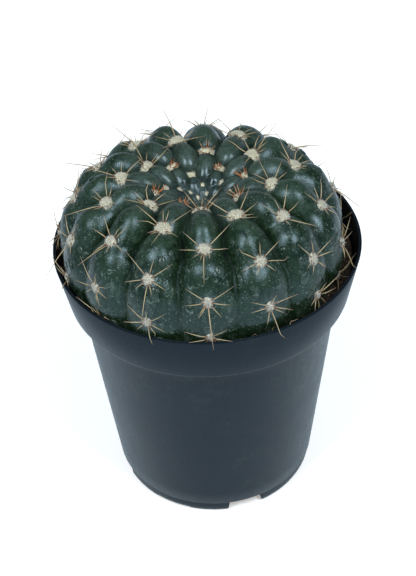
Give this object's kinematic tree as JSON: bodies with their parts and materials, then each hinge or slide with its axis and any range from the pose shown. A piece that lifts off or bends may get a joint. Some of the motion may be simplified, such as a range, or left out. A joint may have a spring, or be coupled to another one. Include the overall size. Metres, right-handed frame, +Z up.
{
  "type": "potted round cactus",
  "caption": "Flattened round cactus with rounded ribs, woolly areoles and straw-coloured spines, in a tapered black plastic nursery pot with a collar and notched feet.",
  "frame": {"origin": "middle of the pot's underside, on the surface it stands on", "axes": "+Z up along the pot's axis, -Y towards the front of the plant, +X to the right seen from the front"},
  "size_m": [0.1215, 0.1215, 0.1564],
  "materials": {
    "pot_plastic": "satin moulded polypropylene, near black with a blue-grey sheen",
    "potting_mix": null,
    "cactus_skin": null,
    "felt_and_spines": null
  },
  "bodies": {
    "root": {"areole_01_1": "felt_and_spines", "areole_01_2": "felt_and_spines", "areole_01_3": "felt_and_spines", "areole_02_1": "felt_and_spines", "areole_02_2": "felt_and_spines", "areole_02_3": "felt_and_spines", "areole_02_4": "felt_and_spines", "areole_03_1": "felt_and_spines", "areole_03_2": "felt_and_spines", "areole_03_3": "felt_and_spines", "areole_03_4": "felt_and_spines", "areole_04_1": "felt_and_spines", "areole_04_2": "felt_and_spines", "areole_04_3": "felt_and_spines", "areole_04_4": "felt_and_spines", "areole_05_1": "felt_and_spines", "areole_05_2": "felt_and_spines", "areole_05_3": "felt_and_spines", "areole_05_4": "felt_and_spines", "areole_06_1": "felt_and_spines", "areole_06_2": "felt_and_spines", "areole_06_3": "felt_and_spines", "areole_07_1": "felt_and_spines", "areole_07_2": "felt_and_spines", "areole_07_3": "felt_and_spines", "areole_07_4": "felt_and_spines", "areole_08_1": "felt_and_spines", "areole_08_2": "felt_and_spines", "areole_08_3": "felt_and_spines", "areole_08_4": "felt_and_spines", "areole_09_1": "felt_and_spines", "areole_09_2": "felt_and_spines", "areole_09_3": "felt_and_spines", "areole_10_1": "felt_and_spines", "areole_10_2": "felt_and_spines", "areole_10_3": "felt_and_spines", "areole_10_4": "felt_and_spines", "areole_11_1": "felt_and_spines", "areole_11_2": "felt_and_spines", "areole_11_3": "felt_and_spines", "areole_11_4": "felt_and_spines", "areole_12_1": "felt_and_spines", "areole_12_2": "felt_and_spines", "areole_12_3": "felt_and_spines", "areole_12_4": "felt_and_spines", "areole_13_1": "felt_and_spines", "areole_13_2": "felt_and_spines", "areole_13_3": "felt_and_spines", "areole_13_4": "felt_and_spines", "areole_14_1": "felt_and_spines", "areole_14_2": "felt_and_spines", "areole_14_3": "felt_and_spines", "areole_15_1": "felt_and_spines", "areole_15_2": "felt_and_spines", "areole_15_3": "felt_and_spines", "areole_15_4": "felt_and_spines", "cactus_body": "cactus_skin", "pot": "pot_plastic", "soil": "potting_mix"}
  },
  "joints": []
}
